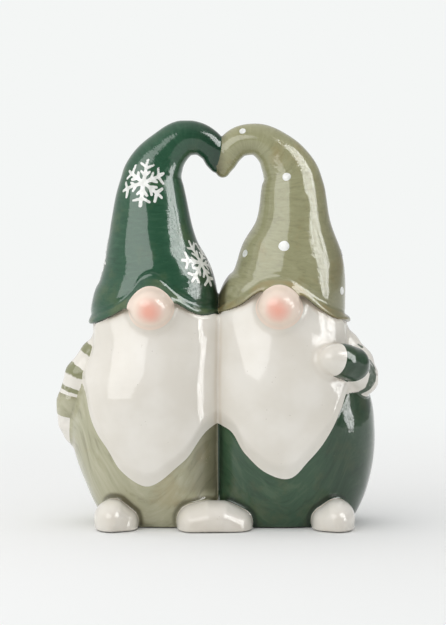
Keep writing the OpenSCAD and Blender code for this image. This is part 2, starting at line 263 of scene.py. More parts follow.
def body_distance(side, x, y, z):
    centre, half, depth = body_frame(side, z)
    u = np.abs(x - centre) / half
    v = np.abs(y - MIDDLE_Y) / depth
    q = np.maximum((u**BODY_POWER + v**BODY_POWER) ** (1 / BODY_POWER), 0.3)
    slope = q ** (1 - BODY_POWER) * np.hypot(u ** (BODY_POWER - 1) / half, v ** (BODY_POWER - 1) / depth)
    relief = BEARD_RELIEF * smooth_step(-0.6, 4.5, beard_side(side, x, y, z))
    tuck = smooth_step(-1.0, 2.5, z - brim_height(side, x, y))
    return np.maximum((q - 1) / slope - relief * (1 - tuck) + 1.8 * tuck, z - NECK_Z - 3)


def hat_samples(side):
    """Points, directions and half sizes along a hat's centre line."""
    curve = catmull(HAT_STATIONS[side], 8)
    along = np.gradient(curve[:, :2], axis=0)
    along /= np.linalg.norm(along, axis=1)[:, None]
    return curve, along


HAT_SAMPLES = [hat_samples(side) for side in SIDES]
FOOT_CHUNK = 20000  # points handled at once, to keep memory low
CHAIN_BLEND = 1.2  # fillet where the links of a limb meet
BEND_Z = (125.0, 131.0)  # above this the hats bend so tightly that they are swept discs


def hat_rows(curve, at, share, off):
    """Offset, half width, half depth and way along, at a share of the way from one sample to the next."""
    size = curve[at, 2:4] * (1 - share[:, None]) + curve[at + 1, 2:4] * share[:, None]
    return np.stack([off, size[:, 0], size[:, 1] * HAT_DEPTH / 2, at + share], 1)


def hat_foot(side, x, z):
    """For points in the plane of the heart: offset across the hat's centre line, half width and half
    depth there, and the share of the way along it."""
    curve, along = HAT_SAMPLES[side]
    last = len(curve) - 1
    x, z = np.broadcast_arrays(x, z)
    points = np.stack([x.ravel(), z.ravel()], 1)
    result = np.empty((len(points), 4))
    for start in range(0, len(points), FOOT_CHUNK):
        part = points[start:start + FOOT_CHUNK]
        row = np.arange(len(part))
        dx = part[:, :1] - curve[:, 0]
        dz = part[:, 1:] - curve[:, 1]
        forward = dx * along[:, 0] + dz * along[:, 1]
        across = dx * along[:, 1] - dz * along[:, 0]
        span = forward[:, :-1] - forward[:, 1:]
        t = np.clip(forward[:, :-1] / np.where(np.abs(span) < 1e-9, 1, span), 0, 1)
        half = curve[:-1, 2] * (1 - t) + curve[1:, 2] * t
        # Straight across from the centre line, or from its nearest end.
        offset = across[:, :-1] * (1 - t) + across[:, 1:] * t
        here = (forward[:, :-1] >= 0) & (forward[:, 1:] < 0)
        cost = np.where(here, np.abs(offset) - half, 1e6)
        best = cost.argmin(1)
        found = cost[row, best] < 1e5
        away = np.hypot(dx, dz)
        nearest = away.argmin(1)
        at = np.where(found, best, np.minimum(nearest, last - 1))
        share = np.where(found, t[row, best], (nearest == last) * 1.0)
        off = np.where(found, offset[row, best], away[row, nearest])
        off = np.abs(np.where(~found & (nearest == 0), across[:, 0], off))
        lower = hat_rows(curve, at, share, off)
        # The nearest of the discs that are swept along the centre line.
        gap = np.hypot(dx[:, :-1] - (curve[1:, 0] - curve[:-1, 0]) * t,
                       dz[:, :-1] - (curve[1:, 1] - curve[:-1, 1]) * t)
        bend = (gap - half).argmin(1)
        upper = hat_rows(curve, bend, t[row, bend], gap[row, bend])
        high = smooth_step(*BEND_Z, part[:, 1:])
        result[start:start + FOOT_CHUNK] = lower * (1 - high) + upper * high
    result[:, 3] /= last
    return [result[:, i].reshape(x.shape) for i in range(4)]


def brim_height(side, x, y):
    """Height of a hat's edge: the arched line in front, level round the back."""
    front = np.interp(x, BRIM_CURVES[side][:, 0], BRIM_CURVES[side][:, 1])
    back = smooth_step(-9, 7, y)
    return front * (1 - back) + BRIM_BACK_Z * back


def hat_distance(side, x, y, z):
    off, half, depth, _ = hat_foot(side, x, z)
    u = off / half
    v = (y - MIDDLE_Y) / depth
    q = np.maximum(np.sqrt(u * u + v * v), 0.3)
    slope = np.hypot(u / half, v / depth) / q
    form = (q - 1) / slope
    rise = z - brim_height(side, x, y)
    lip = 0.55 * np.exp(-((rise - 0.8) / 1.5) ** 2)
    groove = 0.3 * np.exp(-((rise - 3.6) / 1.1) ** 2)
    return blend_max(form - lip + groove, -rise, 1.1)


def link_distance(a, b, x, y, z):
    """Distance to the cone between two balls, the way along it, and its length."""
    a, b = np.array(a, float), np.array(b, float)
    axis = b[:3] - a[:3]
    span = np.linalg.norm(axis)
    t = np.clip(((x - a[0]) * axis[0] + (y - a[1]) * axis[1] + (z - a[2]) * axis[2]) / span**2, 0, 1)
    gap = np.sqrt((x - a[0] - axis[0] * t)**2 + (y - a[1] - axis[1] * t)**2 + (z - a[2] - axis[2] * t)**2)
    return gap - (a[3] + (b[3] - a[3]) * t), t * span, span


def chain_distance(balls, x, y, z):
    """Distance to a chain of balls."""
    total = None
    for a, b in zip(balls[:-1], balls[1:]):
        gap = link_distance(a, b, x, y, z)[0]
        total = gap if total is None else blend_min(total, gap, CHAIN_BLEND)
    return total


def mm_box(node):
    low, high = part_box(node)
    return np.array(low) / MM, np.array(high) / MM


NOSES = []
for name in ("left_nose", "right_nose"):
    low, high = mm_box(name)
    radius = (high[0] - low[0]) / 2
    NOSES.append(((low[0] + high[0]) / 2, low[1] + radius, (low[2] + high[2]) / 2, radius))


def nose_distance(side, x, y, z):
    cx, cy, cz, r = NOSES[side]
    rise = z - cz + 0.4
    wide = 1.03 - 0.22 * smooth_step(-2, 8, rise)
    rise = np.maximum(rise, 1.18 * rise)
    return np.sqrt(((x - cx) / wide)**2 + (y - cy - 0.6)**2 + rise**2) - r + 0.15


def foot_distance(node, x, y, z):
    """A low mound, longer than wide, whose sides hardly curl under at the floor."""
    balls = FOOT_CHAINS[node]
    middle = balls[0][1]
    return chain_distance(balls, x, middle + (y - middle) * FOOT_STRETCH, np.maximum(z, 1.3 + 0.72 * z))


# ---- The whole figurine as one field ----

REACH = 4.0  # how far round its box a form still matters
FORMS = []  # in the order in which they are joined on
FAR = 50.0  # the field where no form is near


def add_form(name, nodes, distance):
    """A form's name, the box round the CAD nodes it stands for, its distance field and its fillet."""
    boxes = [mm_box(node) for node in nodes]
    FORMS.append({
        "name": name,
        "low": np.min([low for low, _ in boxes], 0) - REACH,
        "high": np.max([high for _, high in boxes], 0) + REACH,
        "distance": distance,
        "fillet": FILLETS[name.rsplit("_", 1)[1]],
    })


def add_forms():
    for side, name in enumerate(SIDE_NAMES):
        nodes = (name + "_trousers", name + "_shirt", name + "_beard")
        add_form(name + "_body", nodes, lambda x, y, z, s=side: body_distance(s, x, y, z))
    for side, name in enumerate(SIDE_NAMES):
        add_form(name + "_hat", (name + "_hat",), lambda x, y, z, s=side: hat_distance(s, x, y, z))
    for side, name in enumerate(SIDE_NAMES):
        add_form(name + "_nose", (name + "_nose",), lambda x, y, z, s=side: nose_distance(s, x, y, z))
    for node, balls in ARM_CHAINS.items():
        add_form(node, (node,), lambda x, y, z, b=balls: chain_distance(b, x, y, z))
    for node in FOOT_CHAINS:
        add_form(node, (node,), lambda x, y, z, n=node: foot_distance(n, x, y, z))


def within(points, low, high):
    return ((points > low) & (points < high)).all(1)


def finished(total, x, y, z):
    """Adds the unevenness of hand modelling and cuts the form flat at the floor."""
    uneven = 0.02 + 0.24 * noise(x, y, z, 17, 1) + 0.1 * noise(x, y, z, 7, 2)
    return blend_max(total + uneven, 0.02 - z, 0.8)


def field_at(points):
    """The distance field at separate points."""
    total = np.full(len(points), FAR)
    for form in FORMS:
        near = within(points, form["low"], form["high"])
        if near.any():
            gap = form["distance"](*points[near].T)
            total[near] = blend_min(total[near], gap, form["fillet"])
    return finished(total, *points.T)


def slope_at(points, step=0.5):
    """The field's gradient, by central differences."""
    result = np.empty_like(points)
    for axis in range(3):
        shift = np.zeros(3)
        shift[axis] = step
        result[:, axis] = (field_at(points + shift) - field_at(points - shift)) / (2 * step)
    return result


BLOCK = 24  # grid points along a side of a block
SKIN_BAND = 3.0  # a block whose field stays farther from zero than this holds no skin


def field_grid(axes):
    """The field on the whole grid, block by block, with only the forms that reach a block."""
    field = np.full([len(a) for a in axes], FAR, np.float32)
    for starts in product(*(range(0, len(a), BLOCK) for a in axes)):
        span = [a[start:start + BLOCK] for a, start in zip(axes, starts)]
        x, y, z = span[0][:, None, None], span[1][None, :, None], span[2][None, None, :]
        low = np.array([ticks[0] for ticks in span])
        high = np.array([ticks[-1] for ticks in span])
        total = np.full([len(ticks) for ticks in span], FAR)
        for form in FORMS:
            if (high > form["low"]).all() and (low < form["high"]).all():
                total = blend_min(total, form["distance"](x, y, z), form["fillet"])
        if np.abs(total).min() < SKIN_BAND or low[2] < SKIN_BAND:
            total = finished(total, x, y, z)
        field[tuple(slice(start, start + BLOCK) for start in starts)] = total
    return field


SQUARE = ((1, 1), (0, 1), (0, 0), (1, 0))  # the four cells round an edge, in order


def surface_net(field, axes):
    """Points and outward triangles of the zero surface of a gridded field."""
    inside = field < 0
    size = np.array(field.shape) - 1
    count = np.zeros(size, np.int8)
    for corner in product((0, 1), repeat=3):
        count += inside[tuple(slice(bit, bit + length) for bit, length in zip(corner, size))]
    mixed = (count > 0) & (count < 8)
    cells = np.argwhere(mixed)
    index = np.full(size, -1, np.int64)
    index[mixed] = np.arange(len(cells))
    total = np.zeros((len(cells), 3))
    hits = np.zeros(len(cells))
    step = np.eye(3, dtype=int)
    for axis in range(3):
        u, v = step[axis - 2], step[axis - 1]
        for a, b in product((0, 1), repeat=2):
            start = cells + a * u + b * v
            low, high = field[tuple(start.T)], field[tuple((start + step[axis]).T)]
            crossed = (low < 0) != (high < 0)
            share = np.where(crossed, low / np.where(crossed, low - high, 1), 0)
            total += (start + share[:, None] * step[axis]) * crossed[:, None]
            hits += crossed
    points = np.array([a[0] for a in axes]) + total / hits[:, None] * CELL
    quads = []
    for axis in range(3):
        first = np.take(inside, range(size[axis]), axis)
        second = np.take(inside, range(1, size[axis] + 1), axis)
        edge = np.argwhere(first != second)
        others = [axis - 2, axis - 1]
        edge = edge[((edge > 0) & (edge < size))[:, others].all(1)]
        u, v = step[others]
        quad = np.stack([index[tuple((edge - a * u - b * v).T)] for a, b in SQUARE], 1)
        outward = first[tuple(edge.T)]
        quads.append(np.where(outward[:, None], quad, quad[:, ::-1]))
    quads = np.vstack(quads)
    a, b, c, d = (points[quads[:, i]] for i in range(4))
    short = np.linalg.norm(a - c, axis=1) <= np.linalg.norm(b - d, axis=1)
    first = np.where(short[:, None], quads[:, [0, 1, 2]], quads[:, [0, 1, 3]])
    second = np.where(short[:, None], quads[:, [0, 2, 3]], quads[:, [1, 2, 3]])
    return points, np.vstack([first, second])


def unit(vectors):
    return vectors / np.maximum(np.linalg.norm(vectors, axis=-1, keepdims=True), 1e-9)


def settled(points, steps=2):
    """Moves points straight onto the zero surface."""
    for _ in range(steps):
        slope = slope_at(points)
        move = field_at(points)[:, None] * slope / np.maximum((slope**2).sum(1), 0.25)[:, None]
        length = np.linalg.norm(move, axis=1, keepdims=True)
        points = points - move * np.minimum(1, 0.5 * CELL / np.maximum(length, 1e-9))
    return points


# ---- Parting the skin into its pieces ----

NODE_NAMES = []
for name in SIDE_NAMES:
    NODE_NAMES += [name + part for part in ("_beard", "_shirt", "_trousers", "_hat", "_nose")]
NODE_NAMES += [*ARM_CHAINS, *FOOT_CHAINS, "base_floor"]
COLUMN = {name: i for i, name in enumerate(NODE_NAMES)}
FLOOR_INSET = 3.0  # how far in from the skin the floor plate begins


def body_columns(nearness, near, side, gap, x, y, z):
    """A body is beard in front, shirt above the waist behind it, and trousers below."""
    name = SIDE_NAMES[side]
    beard = beard_side(side, x, y, z)
    below = WAIST_Z - z + 0.4 * noise(x, y, z, 9, 22)
    nearness[near, COLUMN[name + "_beard"]] = gap + np.maximum(0, -beard)
    nearness[near, COLUMN[name + "_shirt"]] = gap + np.maximum(0, np.maximum(beard, below))
    nearness[near, COLUMN[name + "_trousers"]] = gap + np.maximum(0, np.maximum(beard, -below))
    floor = nearness[near, COLUMN["base_floor"]]
    nearness[near, COLUMN["base_floor"]] = np.minimum(floor, 2 * gap + FLOOR_INSET)


def piece_nearness(points):
    """How near each point is to each piece; the piece with the least value owns it."""
    nearness = np.full((len(points), len(NODE_NAMES)), 60.0)
    for form in FORMS:
        near = within(points, form["low"], form["high"])
        x, y, z = points[near].T
        gap = form["distance"](x, y, z)
        if form["name"].endswith("_body"):
            body_columns(nearness, near, SIDE_NAMES.index(form["name"][:-5]), gap, x, y, z)
        else:
            nearness[near, COLUMN[form["name"]]] = gap + (FOOT_MARGIN if form["name"] in FOOT_CHAINS else 0)
    return nearness


def edges_of(triangles):
    return np.vstack([triangles[:, [0, 1]], triangles[:, [1, 2]], triangles[:, [2, 0]]])


def own_points(triangles):
    """The numbers of the points that triangles use, and the triangles counted in those points alone."""
    used, own = np.unique(triangles, return_inverse=True)
    return used, own.reshape(-1, 3)


def patch_numbers(count, a, b):
    """One number for all the items that the pairs a, b join to one another."""
    patch = np.arange(count)
    while True:
        least = np.minimum(patch[a], patch[b])
        new = patch.copy()
        np.minimum.at(new, a, least)
        np.minimum.at(new, b, least)
        new = new[new]
        if (new == patch).all():
            return patch
        patch = new


def clear_islands(nearness, triangles, smallest=60):
    """Gives every small patch of points to the piece round it."""
    for _ in range(3):
        owner = nearness.argmin(1)
        edges = edges_of(triangles)
        alike = edges[owner[edges[:, 0]] == owner[edges[:, 1]]]
        patch = patch_numbers(len(owner), *alike.T)
        size = np.bincount(patch, minlength=len(owner))[patch]
        border = edges[owner[edges[:, 0]] != owner[edges[:, 1]]]
        inside, beside = np.vstack([border, border[:, ::-1]]).T
        facing = (size[inside] < smallest) & (size[beside] >= smallest)
        if not facing.any():
            break
        taken = np.full(len(owner), -1)
        taken[patch[inside[facing]]] = owner[beside[facing]]
        small = np.flatnonzero((size < smallest) & (taken[patch] >= 0))
        old, new = owner[small], taken[patch[small]]
        values = nearness[small, old], nearness[small, new]
        nearness[small, new], nearness[small, old] = values


def part_skin(data, triangles, nearness):
    """Cuts the triangles along the lines where two pieces are equally near. Returns the data with the new
    points, the triangles and the owner of each."""
    owner = nearness.argmin(1)
    owners = owner[triangles]
    same = (owners == owners[:, :1]).all(1)
    faces, face_owner = [triangles[same]], [owners[same, 0]]
    mixed = triangles[~same]
    edges = np.sort(edges_of(mixed), 1)
    edges = np.unique(edges[owner[edges[:, 0]] != owner[edges[:, 1]]], axis=0)
    a, b = edges.T
    fall = nearness[a, owner[a]] - nearness[a, owner[b]]
    rise = nearness[b, owner[a]] - nearness[b, owner[b]]
    share = np.clip(fall / np.minimum(fall - rise, -1e-9), 0.04, 0.96)[:, None]
    key = a * len(data) + b
    first_new = len(data)
    data = np.vstack([data, data[a] * (1 - share) + data[b] * share])

    def middle(p, q):
        wanted = np.minimum(p, q) * first_new + np.maximum(p, q)
        return first_new + np.searchsorted(key, wanted)

    for turn in range(3):
        o, p, q = (mixed[:, (turn + i) % 3] for i in range(3))
        odd = (owner[p] == owner[q]) & (owner[o] != owner[p])
        o, p, q = o[odd], p[odd], q[odd]
        op, oq = middle(o, p), middle(o, q)
        faces += [np.stack([o, op, oq], 1), np.stack([op, p, q], 1), np.stack([op, q, oq], 1)]
        face_owner += [owner[o], owner[p], owner[p]]
    three = mixed[(owner[mixed] != owner[np.roll(mixed, 1, 1)]).all(1)]
    if len(three):
        mids = [middle(three[:, i], three[:, (i + 1) % 3]) for i in range(3)]
        centre = len(data) + np.arange(len(three))
        data = np.vstack([data, (data[mids[0]] + data[mids[1]] + data[mids[2]]) / 3])
        for i in range(3):
            corner = three[:, i]
            faces += [np.stack([corner, mids[i], centre], 1), np.stack([corner, centre, mids[i - 1]], 1)]
            face_owner += [owner[corner], owner[corner]]
    return data, np.vstack(faces), np.concatenate(face_owner)


def closed_shell(outer, inner, faces):
    """Joins an outer and an inner skin along their open edges. Returns the points and the triangles."""
    n = len(outer)
    edges = edges_of(faces)
    forward = edges[:, 0] * n + edges[:, 1]
    backward = edges[:, 1] * n + edges[:, 0]
    rim = edges[~np.isin(forward, backward)]
    a, b = rim.T
    wall = [np.stack([b, a, a + n], 1), np.stack([b, a + n, b + n], 1)]
    return np.vstack([outer, inner]), np.vstack([faces, faces[:, ::-1] + n] + wall)


def make_mesh(name, points, faces, normals, attributes):
    """A smooth mesh object, from points in millimetres, with its own normals and named point values."""
    mesh = bpy.data.meshes.new(name)
    mesh.vertices.add(len(points))
    mesh.vertices.foreach_set("co", (points * MM).astype(np.float32).ravel())
    mesh.loops.add(len(faces) * 3)
    mesh.loops.foreach_set("vertex_index", faces.astype(np.int32).ravel())
    mesh.polygons.add(len(faces))
    mesh.polygons.foreach_set("loop_start", np.arange(0, len(faces) * 3, 3, dtype=np.int32))
    mesh.update(calc_edges=True)
    mesh.shade_smooth()
    mesh.normals_split_custom_set_from_vertices(normals.tolist())
    for key, value in attributes.items():
        kind, field = ("FLOAT_VECTOR", "vector") if value.ndim == 2 else ("FLOAT", "value")
        attribute = mesh.attributes.new(key, kind, "POINT")
        attribute.data.foreach_set(field, value.astype(np.float32).ravel())
    piece = bpy.data.objects.new(name, mesh)
    bpy.context.scene.collection.objects.link(piece)
    return piece


# ---- What the paint follows ----

STRIPES = {  # bands painted round a sleeve: distance from its shoulder and width
    "left_outer_sleeve": ((6.3, 1.9), (14.8, 2.1), (21.0, 2.1)),
    "left_inner_sleeve": ((8.0, 1.9), (16.0, 1.9), (23.5, 1.9)),
    "right_inner_sleeve": ((8.0, 1.9), (16.0, 1.9), (23.5, 1.9)),
}
# Brush strokes on the bent right sleeve: x and z from end to end, and greatest width.
SLEEVE_STROKES = (
    (((54, 60.6), (56, 57.6), (56.5, 54.4), (54.8, 50.8), (50.6, 48.2)), 2.8),
    (((52.6, 62.8), (55, 61), (57.2, 58), (58.2, 55)), 0.7),
    (((51.2, 66), (53.4, 64.6)), 0.9),
)
NO_STRIPE = 9.0  # anywhere away from a band


def chain_way(balls, x, y, z):
    """Smooth distance along a chain of balls."""
    total, weights, length = 0, 1e-12, 0.0
    for a, b in zip(balls[:-1], balls[1:]):
        gap, way, span = link_distance(a, b, x, y, z)
        weight = np.exp(-np.clip(gap + 6, 0, 30) / 0.8)
        total = total + weight * (length + way)
        weights = weights + weight
        length += span
    return total / weights


def stroke_on_sleeve(line, width, x, z):
    """Distance to a brush stroke that tapers to both ends."""
    curve = catmull(line, 8)
    gap = np.hypot(x[:, None] - curve[:, 0], z[:, None] - curve[:, 1])
    share = np.sin(math.pi * np.linspace(0.06, 0.94, len(curve)))
    return (gap - width / 2 * share).min(1)


def near_node(points, node, margin=2):
    low, high = mm_box(node)
    return within(points, low - margin, high + margin)


def stripe_distance(points):
    """Distance to the nearest painted band, negative inside it, of whichever sleeve is near."""
    result = np.full(len(points), NO_STRIPE)
    for name, bands in STRIPES.items():
        near = near_node(points, name)
        way = chain_way(ARM_CHAINS[name], *points[near].T)
        for at, width in bands:
            result[near] = np.minimum(result[near], np.abs(way - at) - width / 2)
    near = near_node(points, "right_outer_sleeve")
    for line, width in SLEEVE_STROKES:
        result[near] = np.minimum(result[near], stroke_on_sleeve(line, width, *points[near][:, [0, 2]].T))
    return result


HAT_WAY = 125.0  # length of a hat's centre line


def brush_flow(points):
    """Across the brush strokes, then two ways along them, in millimetres."""
    x, y, z = points.T
    on_left = x < JOINT_X
    across = (z - np.where(on_left, beard_line(LEFT, x), beard_line(RIGHT, x))) * 0.8
    for side, own in ((LEFT, on_left), (RIGHT, ~on_left)):
        on_hat = own & (z > 76)
        across[on_hat] = hat_foot(side, x[on_hat], z[on_hat])[3] * HAT_WAY
    return np.stack([across, x, y], 1)


def blush_at(points):
    """1 in the middle of a nose's blush, falling off round it."""
    result = np.zeros(len(points))
    for cx, cy, cz, r in NOSES:
        spot = np.array((cx - 0.6, cy - r, cz - 2.0))
        away = np.linalg.norm(points - spot, axis=1)
        result = np.maximum(result, np.clip(1 - away / 13, 0, 1))
    return result


HOLLOW_REACH = 2.2  # how far off the surface its close hollows and edges are felt
WIDE_REACH = 6.0  # the same for wide hollows


def paint_guides(points, normals):
    """Values that the materials follow, one row a point. The pool values carry glaze pooling together with
    painted shade.
    """
    inside = field_at(points - normals * HOLLOW_REACH)
    # Painted shade: the pool values darken close and wide hollows, standing for glaze that pools there and
    # for the shade that falls in them.
    pool_shade = 1 - field_at(points + normals * HOLLOW_REACH) / HOLLOW_REACH
    wide_pool_shade = 1 - field_at(points + normals * WIDE_REACH) / WIDE_REACH
    # Painted shade in the crease between the two gnomes, reaching far across the left gnome and little
    # across the right, none near the floor; wide hollows get no darkening near the floor either.
    reach = np.where(points[:, 0] < JOINT_X, 30, 6)
    crease_shade = (1 - np.abs(points[:, 0] - JOINT_X) / reach) * smooth_step(8, 15, points[:, 2])
    wide_pool_shade = np.maximum(wide_pool_shade * smooth_step(10, 22, points[:, 2]), 0.8 * crease_shade)
    # Painted shade: the right gnome is darkened more and more towards its right flank.
    wide_pool_shade = np.maximum(wide_pool_shade, 0.62 * smooth_step(18, 46, points[:, 0]))
    edge = 1 + inside / HOLLOW_REACH
    wall = 0.8 * np.clip(-inside, 0.4, SHELL_WALL)
    columns = [np.clip(v, 0, 1) for v in (pool_shade, wide_pool_shade, edge)]
    return np.stack(columns + [wall, stripe_distance(points), blush_at(points)], 1)


GUIDES = ("pool_shade", "wide_pool_shade", "edge", "wall", "stripe", "blush")


def guide_attributes(rows):
    """Mesh attributes from rows of guides and brush flow."""
    found = {name: rows[:, i] for i, name in enumerate(GUIDES) if name != "wall"}
    found["brush"] = rows[:, len(GUIDES):]
    return found


# ---- Raised enamel on the hats ----

FLAKE_STROKES = []  # start, end and half width of each stroke of a snowflake of radius 1, on its first arm
for root, length, slant, half in ((0.66, 0.34, 66, 0.062), (0.3, 0.27, 45, 0.058)):
    for turn in (math.radians(-slant), math.radians(slant)):
        tip = (root + length * math.cos(turn), length * math.sin(turn))
        FLAKE_STROKES.append(((root, 0), tip, half))
FLAKE_STROKES.append(((0, 0), (0.96, 0), 0.068))


def stroke_distance(u, v, start, end, half):
    ax, ay = end[0] - start[0], end[1] - start[1]
    t = np.clip(((u - start[0]) * ax + (v - start[1]) * ay) / (ax * ax + ay * ay), 0, 1)
    return np.hypot(u - start[0] - ax * t, v - start[1] - ay * t) - half * (1.08 - 0.2 * t)


def flake_distance(u, v, seed):
    """Distance to a hand-painted snowflake, whose six arms all differ a little."""
    rng = np.random.default_rng(seed)
    total = np.full(u.shape, 9.0)
    for arm in range(6):
        turn = math.radians(60 * arm + 90) + rng.normal(0, 0.035)
        reach = FLAKE_RADIUS * (1 + rng.normal(0, 0.035))
        along = (u * math.cos(turn) + v * math.sin(turn)) / reach
        across = (v * math.cos(turn) - u * math.sin(turn)) / reach
        for start, end, half in FLAKE_STROKES:
            sway = rng.normal(0, 0.018, 4)
            a = (start[0] + sway[0] * (start[0] > 0), start[1])
            b = (end[0] + sway[1], end[1] + sway[2])
            stroke = stroke_distance(along, across, a, b, half * (1 + 4 * sway[3])) * reach
            total = blend_min(total, stroke, 0.35)
    return total + 0.1 * noise(u, v, 0, 1.4, seed) + 0.06 * noise(u, v, 0, 0.7, seed + 1)


def dot_distance(u, v, radius, seed):
    """Distance to a dot, a little out of round."""
    return np.hypot(u, v * 1.06) - radius + 0.12 * noise(u, v, 0, 2.2, seed)


def hat_mark(side, way, turn, spin=0):
    """Point on a hat at a way along it and a turn round it, with the side and up directions there."""
    curve, along = HAT_SAMPLES[side]
    at = way * (len(curve) - 1)
    samples = np.arange(len(curve))
    x, z, half, share = (np.interp(at, samples, column) for column in curve.T)
    axis_x, axis_z = (np.interp(at, samples, column) for column in along.T)
    axis = unit(np.array([axis_x, 0, axis_z]))
    across = np.array([axis[2], 0, -axis[0]])
    depth = share * HAT_DEPTH / 2
    bearing = math.radians(turn)
    place = np.array([x, MIDDLE_Y, z]) + across * half * math.cos(bearing)
    place[1] += depth * math.sin(bearing)
    out = unit(across * math.cos(bearing) / half + np.array([0, math.sin(bearing) / depth, 0]))
    level = np.cross(axis, out)
    tilt = math.radians(spin)
    right = level * math.cos(tilt) + axis * math.sin(tilt)
    up = axis * math.cos(tilt) - level * math.sin(tilt)
    return place, right, up


ENAMEL_STEP = 0.16
MARK_MARGIN = 1.0  # what is kept round a mark until it is cut out


def enamel_patch(side, way, turn, spin, reach, distance):
    """One painted mark, laid on the glaze as a low rounded relief. Returns points, normals and faces."""
    place, right, up = hat_mark(side, way, turn, spin)
    ticks = np.arange(-reach, reach + ENAMEL_STEP, ENAMEL_STEP)
    u, v = (g.ravel() for g in np.meshgrid(ticks, ticks, indexing="ij"))
    n = len(ticks)
    corner = (np.arange(n - 1)[:, None] * n + np.arange(n - 1)).ravel()
    faces = np.vstack([np.stack([corner, corner + n, corner + n + 1], 1),
                       np.stack([corner, corner + n + 1, corner + 1], 1)])
    gap = distance(u, v)
    kept = gap < MARK_MARGIN
    faces = faces[kept[faces].all(1)]
    used, faces = own_points(faces)
    u, v, gap = u[used], v[used], gap[used]
    points = place + right * u[:, None] + up * v[:, None]
    outward = np.cross(right, up)
    for _ in range(3):
        points = points - unit(slope_at(points)) * field_at(points)[:, None]
    normals = unit(slope_at(points))
    facing = np.sign((normals @ outward).mean())
    data = np.hstack([points, normals, gap[:, None]])
    data, faces, owner = part_skin(data, faces, np.stack([gap, np.zeros_like(gap)], 1))
    faces = faces[owner == 0]
    if facing < 0:
        faces = faces[:, ::-1]
    used, faces = own_points(faces)
    data = data[used]
    height = ENAMEL_RISE * np.sqrt(smooth_step(0.05, -0.55, data[:, 6]))
    outer = data[:, :3] + data[:, 3:6] * (height[:, None] + ENAMEL_LIFT)
    inner = data[:, :3] - data[:, 3:6] * ENAMEL_DEPTH
    return closed_shell(outer, inner, faces)


def enamel_piece(name, marks):
    """Joins several marks into one object."""
    starts = np.cumsum([0] + [len(points) for points, _ in marks])
    faces = np.vstack([faces + start for (_, faces), start in zip(marks, starts)])
    points = np.vstack([points for points, _ in marks])
    return make_mesh(name, points, faces, unit(slope_at(points, 0.3)), {})


# ---- Glazes ----

def linear(red, green, blue):
    """Linear colour from 0-255 sRGB values."""
    values = (c / 255 for c in (red, green, blue))
    return tuple(c / 12.92 if c <= 0.04045 else ((c + 0.055) / 1.055) ** 2.4 for c in values) + (1,)


class Nodes:
    """The node tree of a material or world, with one short method a node."""

    def __init__(self, owner, cleared=False):
        owner.use_nodes = True
        self.tree = owner.node_tree
        if cleared:
            self.tree.nodes.clear()

    def connect(self, socket, value):
        """Links a node's output to a socket, or sets the socket to a plain value."""
        if isinstance(value, bpy.types.NodeSocket):
            self.tree.links.new(value, socket)
        else:
            socket.default_value = value

    def node(self, kind, inputs=None, output=0, **settings):
        made = self.tree.nodes.new("ShaderNode" + kind)
        for key, value in settings.items():
            setattr(made, key, value)
        for key, value in (inputs or {}).items():
            self.connect(made.inputs[key], value)
        return made.outputs[output] if made.outputs else None

    def guide(self, name):
        return self.node("Attribute", output="Fac", attribute_name=name)

    def place(self):
        return self.node("TexCoord", output="Object")

    def scaled(self, vector, scale):
        return self.node("VectorMath", {0: vector, 1: scale}, operation="MULTIPLY")

    def noise(self, vector, scale, detail=3, rough=0.55, warp=0):
        return self.node("TexNoise", {"Vector": vector, "Scale": scale, "Detail": detail,
                                      "Roughness": rough, "Distortion": warp})

    def clouds(self, scale, detail=3, rough=0.55):
        return self.noise(self.place(), scale, detail, rough)

    def math(self, operation, a, b=0.0):
        return self.node("Math", {0: a, 1: b}, operation=operation)

    def times(self, a, b):
        return self.math("MULTIPLY", a, b)

    def span(self, value, low, high, to_low=0.0, to_high=1.0):
        return self.node("MapRange", {"Value": value, "From Min": low, "From Max": high,
                                      "To Min": to_low, "To Max": to_high}, interpolation_type="SMOOTHSTEP")

    def mix(self, share, a, b):
        made = self.tree.nodes.new("ShaderNodeMix")
        made.data_type = "RGBA"
        for key, value in ((0, share), (6, a), (7, b)):
            self.connect(made.inputs[key], value)
        return made.outputs[2]


class Glaze(Nodes):
    """A principled material, glossy under a clear coat unless it says otherwise."""

    def __init__(self, name):
        self.material = bpy.data.materials.new(name)
        super().__init__(self.material)

    def finish(self, colour, bump, roughness=0.3, strength=0.12, distance=0.0004, coat=1.0):
        normal = self.node("Bump", {"Height": bump, "Strength": strength, "Distance": distance})
        values = {"Base Color": colour, "Roughness": roughness, "Specular IOR Level": 0.15,
                  "Coat Weight": coat, "Coat Roughness": 0.03, "Coat IOR": 1.5,
                  "Normal": normal, "Coat Normal": normal}
        for key, value in values.items():
            self.connect(self.tree.nodes["Principled BSDF"].inputs[key], value)
        return self.material


def brush_marks(shader, across, along, warp=0.6):
    """Streaks that run along the brush flow: across and along are their widths in millimetres."""
    flow = shader.node("Attribute", output="Vector", attribute_name="brush")
    return shader.noise(shader.scaled(flow, (1 / across, 1 / along, 1 / along)), 1.0, 4, 0.6, warp)


def speckle(shader, scale=700, size=0.16):
    """1 in tiny scattered pinholes, 0 elsewhere."""
    cells = shader.node("TexVoronoi", {"Vector": shader.place(), "Scale": scale}, "Distance")
    return shader.times(shader.span(cells, size, size * 0.5), shader.span(shader.clouds(160, 1), 0.6, 0.68))


